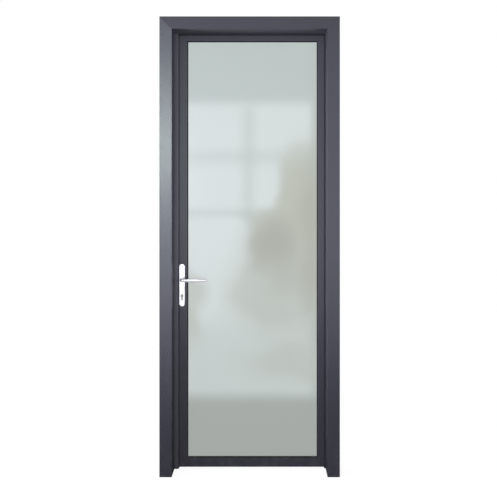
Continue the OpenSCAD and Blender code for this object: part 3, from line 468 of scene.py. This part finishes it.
def lever_rings(axis, plate_y, bar_y, tip_x, out):
    """Neck straight out of the plate, a tight round elbow, then a bar that swells and tapers.

    out is -1 for the outer lever and 1 for the inner one.
    """
    neck_d, elbow_r = 16.6 * MM, 9.0 * MM
    bar_start, bar_top, bar_tip = 16.0 * MM, 22.0 * MM, 13.5 * MM
    thick_start, thick_loss = 13.0 * MM, 4.0 * MM
    tip_round, bow_depth = 9.0 * MM, 2.5 * MM
    top_share, last_reach = 0.46, 0.995
    neck_steps, elbow_steps, bar_steps = 5, 10, 40
    true_oval, squarer = 2.0, 0.05
    rings = []

    neck_end = bar_y - out * elbow_r
    for step in range(neck_steps + 1):
        y = plate_y + (neck_end - plate_y) * step / neck_steps
        rings.append(oval_ring(
            Vector((axis.x, y, axis.z)), Vector((1, 0, 0)), neck_d, neck_d, true_oval))

    for step in range(1, elbow_steps + 1):
        turn = math.pi / 2 * step / elbow_steps
        share = step / elbow_steps
        middle = Vector((axis.x + elbow_r * (1 - math.cos(turn)),
                         neck_end + out * elbow_r * math.sin(turn), axis.z))
        side = Vector((math.cos(turn), -out * math.sin(turn), 0))
        rings.append(oval_ring(
            middle, side, neck_d + (bar_start - neck_d) * share,
            neck_d + (thick_start - neck_d) * share, true_oval + squarer * share))

    start_x = axis.x + elbow_r
    length = tip_x - start_x
    round_share = tip_round / length
    for step in range(1, bar_steps + 1):
        share = step / bar_steps
        if share < top_share:
            height = bar_start + (bar_top - bar_start) * smooth_step(share / top_share)
        else:
            fall = smooth_step((share - top_share) / (1 - top_share))
            height = bar_top + (bar_tip - bar_top) * fall
        thick = thick_start - thick_loss * share
        if share > 1 - round_share:
            reach = (share - 1 + round_share) / round_share
            ease = math.sqrt(1 - min(reach, last_reach) ** 2)
            height, thick = height * ease, thick * ease
        bow = -out * bow_depth * share * share
        rings.append(oval_ring(
            Vector((start_x + length * share, bar_y + bow, axis.z)),
            Vector((0, -out, 0)), height, thick, true_oval + squarer))
    return rings


def neck_collar(name, axis, plate_y, out):
    """A turned ring where the neck leaves its plate."""
    sides = 56
    outer, inner, rise = 11.6 * MM, 8.6 * MM, 2.2 * MM
    profile = (
        (inner, 0.0), (outer, 0.0), (outer, rise * 0.45), (outer - 0.25 * MM, rise * 0.8),
        (outer - 0.8 * MM, rise), (inner + 0.5 * MM, rise), (inner, rise * 0.7))
    rings = []
    for i in range(sides):
        turn = 2 * math.pi * i / sides
        rings.append([
            (axis.x + r * math.cos(turn), plate_y + out * h, axis.z + r * math.sin(turn))
            for r, h in profile])
    made = bmesh.new()
    bridge(made, rings, round_trip=True)
    return as_piece(name, made, plate_silver, closed_skin=True)


def fit_levers():
    """Both levers with their collars; the bar's middle lies bar_inset inside the CAD lever."""
    bar_inset = 7 * MM
    for side, out in (("outer", -1), ("inner", 1)):
        low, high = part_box(side + "_lever")
        plate_low, plate_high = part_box(side + "_plate")
        plate_y = plate_low[1] if out < 0 else plate_high[1]
        bar_y = low[1] + bar_inset if out < 0 else high[1] - bar_inset
        axis = Vector(((plate_low[0] + plate_high[0]) / 2, 0, (low[2] + high[2]) / 2))
        rings = lever_rings(axis, plate_y, bar_y, high[0], out)
        lever = loft(side + "_lever_shaped", rings, lever_silver)
        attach(lever, "handle")
        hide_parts(side + "_lever")
        collar = neck_collar(side + "_neck_collar", axis, plate_y, out)
        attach(collar, "leaf")


fit_levers()


# ------------------------------------------------------------ latch spring

def coil_rings(low, high):
    """Rings of wire wound along X, inside the box from low to high."""
    wire_r, turns, turn_steps, wire_sides = 0.35 * MM, 8, 24, 10
    coil_r = (high[2] - low[2]) / 2 - wire_r
    travel = high[0] - low[0] - 2 * wire_r
    middle_y, middle_z = (low[1] + high[1]) / 2, (low[2] + high[2]) / 2
    along = Vector((1, 0, 0))
    rings = []
    for step in range(turns * turn_steps + 1):
        turn = 2 * math.pi * step / turn_steps
        share = step / (turns * turn_steps)
        out = Vector((0, math.cos(turn), math.sin(turn)))
        place = Vector((low[0] + wire_r + travel * share, middle_y, middle_z)) + out * coil_r
        ring = []
        for side in range(wire_sides):
            angle = 2 * math.pi * side / wire_sides
            ring.append(place + (out * math.cos(angle) + along * math.sin(angle)) * wire_r)
        rings.append(ring)
    return rings


def wind_latch_spring():
    """The latch's return spring, wound to fill the CAD spring's box."""
    low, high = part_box("latch_spring")
    coil = loft("latch_spring_wound", coil_rings(low, high), zinc_steel)
    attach(coil, "leaf")
    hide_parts("latch_spring")
    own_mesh(coil)


wind_latch_spring()


# ------------------------------------------------------------ floor, room and garden

def by_ray(graph, seen, through, otherwise):
    """Three shaders: for the eye, for light that passes glass, and for all other light."""
    ray = graph.add("ShaderNodeLightPath")
    glazed = graph.choose(ray.outputs["Is Transmission Ray"], otherwise, through)
    return graph.choose(ray.outputs["Is Camera Ray"], glazed, seen)


def floor_finish():
    """Almost white to the eye, with the door's soft shadow; dim to the door itself."""
    finish, graph, shader = new_finish("pale_floor", Roughness=0.9, Specular_IOR_Level=0.2)
    speck = graph.noise(graph.object_place(), 400.0, detail=2.0)
    tone = graph.mix(speck.outputs[0], (0.13, 0.13, 0.14, 1), (0.18, 0.18, 0.19, 1))
    graph.feed(shader.inputs["Base Color"], tone)
    glow = graph.add("ShaderNodeEmission", {"Color": (1, 1, 1, 1), "Strength": 0.93})
    shade = graph.add("ShaderNodeBsdfDiffuse", {"Color": (0.16, 0.16, 0.16, 1)})
    seen = graph.add("ShaderNodeAddShader", {0: glow.outputs[0], 1: shade.outputs[0]})
    through = graph.add("ShaderNodeEmission", {
        "Color": (0.45, 0.475, 0.455, 1), "Strength": 1.0})
    graph.show(by_ray(graph, seen, through, shader))
    return finish


def pale_floor():
    """A plain round floor, a hair below the door's foot."""
    made = bmesh.new()
    bmesh.ops.create_circle(made, cap_ends=True, segments=96, radius=5.0)
    floor = as_piece("pale_floor", made, floor_finish())
    floor.location.z = cad_low.z - 0.5 * MM


def white_room():
    """White to the eye; to the door, a soft bright band at eye height over a dim ground."""
    # Brightness from straight down (0) through the horizon (0.5) to straight up (1).
    # The ground is dim, so that the frame's lower half stays dark.
    stops = (
        (0.0, 0.04), (0.35, 0.22), (0.42, 1.82), (0.50, 1.77),
        (0.58, 1.05), (0.70, 0.46), (1.0, 0.42))
    world = bpy.data.worlds.new("white_room")
    bpy.context.scene.world = world
    world.use_nodes = True
    graph = Graph(world.node_tree)
    aim = graph.add("ShaderNodeTexCoord").outputs["Generated"]
    split = graph.add("ShaderNodeSeparateXYZ", {"Vector": aim}).outputs
    level = graph.remap(split["Z"], (-1.0, 1.0))
    band = graph.add("ShaderNodeValToRGB", {"Fac": level})
    ramp = band.color_ramp
    ramp.interpolation = "EASE"
    while len(ramp.elements) < len(stops):
        ramp.elements.new(0.5)
    for element, (place, value) in zip(ramp.elements, stops):
        element.position = place
        element.color = (value, value * 0.99, value, 1)
    brighter_left = graph.remap(split["X"], (-0.38, 0.38), (1.38, 0.62))
    to_right = graph.remap(split["X"], (-0.25, 0.1))
    tint = graph.mix(to_right, (0.93, 1.0, 1.18, 1), (1.03, 1.0, 0.92, 1))
    tinted = graph.vector("MULTIPLY", band.outputs[0], tint)
    lit = graph.add("ShaderNodeBackground", {"Color": tinted, "Strength": brighter_left})
    seen = graph.add("ShaderNodeBackground", {"Color": (1, 1, 1, 1), "Strength": 1.0})
    through = graph.add("ShaderNodeBackground", {
        "Color": (0.60, 0.65, 0.635, 1), "Strength": 1.0})
    graph.show(by_ray(graph, seen, through, lit), "ShaderNodeOutputWorld")


def soft_blob(graph, place, middle, radius, edge):
    """A mask that is 1 inside an ellipse in X and Z and fades out over edge."""
    moved = graph.vector("SUBTRACT", place, (middle[0], 0, middle[1]))
    scaled = graph.vector("MULTIPLY", moved, (1 / radius[0], 0, 1 / radius[1]))
    away = graph.add("ShaderNodeVectorMath", {0: scaled}, operation="LENGTH").outputs["Value"]
    return graph.remap(away, (1 - edge, 1 + edge), (1.0, 0.0), smooth=True)


def soft_bar(graph, along, middle, half, edge):
    """A mask that is 1 within half of middle on one axis and fades out over edge."""
    away = graph.math("ABSOLUTE", graph.math("SUBTRACT", along, middle))
    return graph.remap(away, (half - edge, half + edge), (1.0, 0.0), smooth=True)


def garden_glow():
    """A pale window wall with dim frames, then bushes and a grey ground; places in metres."""
    sky, ground = (0.515, 0.57, 0.555, 1), (0.415, 0.435, 0.412, 1)
    wall, low_wall, end_post = (
        (0.69, 0.735, 0.735, 1), (0.61, 0.655, 0.645, 1), (0.50, 0.545, 0.53, 1))
    bush, leaves, shade = (
        (0.50, 0.52, 0.455, 1), (0.53, 0.56, 0.52, 1), (0.405, 0.42, 0.37, 1))
    leaf_drift = 0.26

    finish = bpy.data.materials.new("garden_backdrop")
    finish.use_nodes = True
    graph = Graph(finish.node_tree)
    place = graph.object_place()
    split = graph.add("ShaderNodeSeparateXYZ", {"Vector": place}).outputs
    x, z = split["X"], split["Z"]
    drift = graph.noise(place, 4.0, detail=3.0).outputs["Color"]
    drift = graph.vector("SUBTRACT", drift, (0.5, 0.5, 0.5))
    drift = graph.add("ShaderNodeVectorMath", {0: drift, "Scale": leaf_drift},
                      operation="SCALE").outputs[0]
    uneven = graph.vector("ADD", place, drift)

    def across(middle, half, edge):
        return soft_bar(graph, z, middle, half, edge)

    def upright(middle, half, edge):
        return soft_bar(graph, x, middle, half, edge)

    def clump(middle, radius, edge):
        return soft_blob(graph, uneven, middle, radius, edge)

    window_post = graph.math("MULTIPLY", upright(-0.008, 0.030, 0.045),
                             across(1.62, 0.34, 0.06))
    near_ground = graph.remap(z, (0.33, 0.425), (1.0, 0.0), smooth=True)
    tone = sky
    for mask, weight, colour in (
            (across(1.20, 0.77, 0.045), 1.0, wall),
            (across(0.58, 0.22, 0.12), 1.0, low_wall),
            (across(1.675, 0.040, 0.040), 0.42, sky),
            (across(1.372, 0.022, 0.032), 0.50, sky),
            (window_post, 0.55, sky),
            (upright(0.368, 0.038, 0.024), 0.90, end_post),
            (clump((0.27, 1.42), (0.13, 0.27), 0.45), 1.0, bush),
            (clump((0.22, 1.22), (0.20, 0.22), 0.42), 0.95, bush),
            (clump((0.20, 0.96), (0.33, 0.24), 0.42), 1.0, leaves),
            (clump((0.11, 1.21), (0.12, 0.14), 0.80), 1.0, shade),
            (clump((0.37, 1.24), (0.10, 0.44), 0.60), 0.70, shade),
            (clump((0.22, 1.06), (0.17, 0.11), 0.85), 0.35, shade),
            (clump((0.25, 0.57), (0.27, 0.10), 0.60), 0.75, leaves),
            (clump((-0.345, 0.89), (0.085, 0.19), 0.55), 0.90, leaves),
            (near_ground, 1.0, ground)):
        tone = graph.mix(graph.math("MULTIPLY", mask, weight), tone, colour)
    graph.show(graph.add("ShaderNodeEmission", {"Color": tone, "Strength": 1.0}))
    return finish


def garden_behind_the_pane():
    """A backdrop close behind the pane, seen only by light that passes through it."""
    low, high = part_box("glass_pane")
    y = high[1] + 0.8 * MM
    made = bmesh.new()
    made.faces.new([made.verts.new(corner) for corner in (
        (low[0], y, low[2]), (high[0], y, low[2]), (high[0], y, high[2]), (low[0], y, high[2]))])
    card = as_piece("garden_backdrop", made, garden_glow())
    card.visible_camera = False
    card.visible_diffuse = False
    card.visible_glossy = False
    card.visible_shadow = False
    card.visible_volume_scatter = False


pale_floor()
white_room()
garden_behind_the_pane()


# ------------------------------------------------------------ lamps

def add_lamp(name, place, target, size, power, colour=(1, 1, 1), spread=180, **sight):
    """A soft rectangular lamp that the eye doesn't see; its spread is in degrees."""
    lamp = bpy.data.lights.new(name, "AREA")
    lamp.shape = "RECTANGLE"
    lamp.size, lamp.size_y = size
    lamp.energy = power
    lamp.color = colour
    lamp.spread = math.radians(spread)
    made = bpy.data.objects.new(name, lamp)
    bpy.context.scene.collection.objects.link(made)
    made.location = place
    aim = Vector(target) - Vector(place)
    made.rotation_euler = aim.to_track_quat("-Z", "Y").to_euler()
    made.visible_camera = False
    made.visible_transmission = False
    for label, value in sight.items():
        setattr(made, label, value)
    return made


def hang_lamps():
    """Weak lamps around the door; the sheen falls on the strike jamb alone."""
    sheen = add_lamp(
        "left_sheen", place=(-0.89, -3.12, 2.00), target=(-0.44, -0.11, 1.80),
        size=(0.5, 0.7), power=4.0, colour=(0.88, 1.0, 0.92), spread=50)
    strike_side = bpy.data.collections.new("strike_side")
    strike_side.objects.link(nodes["strike_jamb"])
    sheen.light_linking.receiver_collection = strike_side
    add_lamp(
        "left_wash", place=(-0.95, -3.0, 1.78), target=(-0.37, 0.0, 1.78),
        size=(0.5, 0.9), power=6.0, colour=(0.82, 0.98, 1.10))
    add_lamp(
        "front_fill", place=(0.06, -3.6, 0.95), target=(0.0, 0.0, 1.5),
        size=(1.2, 0.8), power=47.0, colour=(1.0, 0.97, 0.97), visible_glossy=False)
    add_lamp(
        "top_softbox", place=(0.0, -1.9, 3.9), target=(0.0, 0.0, 1.6),
        size=(2.4, 1.2), power=2.0, visible_glossy=False)
    add_lamp(
        "right_lining_light", place=(-1.3, -0.30, 1.48), target=(0.41, -0.05, 1.48),
        size=(0.2, 1.7), power=18.0, colour=(1.0, 0.98, 0.95), spread=80, visible_glossy=False)
    add_lamp(
        "left_lining_light", place=(1.3, -0.34, 1.60), target=(-0.40, -0.05, 1.60),
        size=(0.2, 1.5), power=4.6, colour=(0.9, 0.96, 1.05), spread=80, visible_glossy=False)
    add_lamp(
        "head_light", place=(0.0, -0.30, 0.04), target=(0.0, -0.06, 2.35),
        size=(0.8, 0.1), power=1.3, spread=40, visible_glossy=False)


hang_lamps()


# ------------------------------------------------------------ camera

def place_camera():
    """Level, at eye height, straight in front of the door and a little to its right."""
    eye_x, eye_height, distance = 0.064, 1.4525, 3.35
    camera_data = bpy.data.cameras.new("camera")
    camera_data.lens = 46.6
    camera_data.sensor_width = 36.0
    camera_data.shift_x = -0.027
    camera_data.shift_y = -0.100
    camera_data.clip_start = 0.01
    camera = bpy.data.objects.new("camera", camera_data)
    bpy.context.scene.collection.objects.link(camera)
    camera.location = (eye_x, cad_low.y - distance, eye_height)
    camera.rotation_euler = (math.radians(90), 0, 0)
    bpy.context.scene.camera = camera


place_camera()
bpy.context.scene.view_settings.view_transform = "Standard"
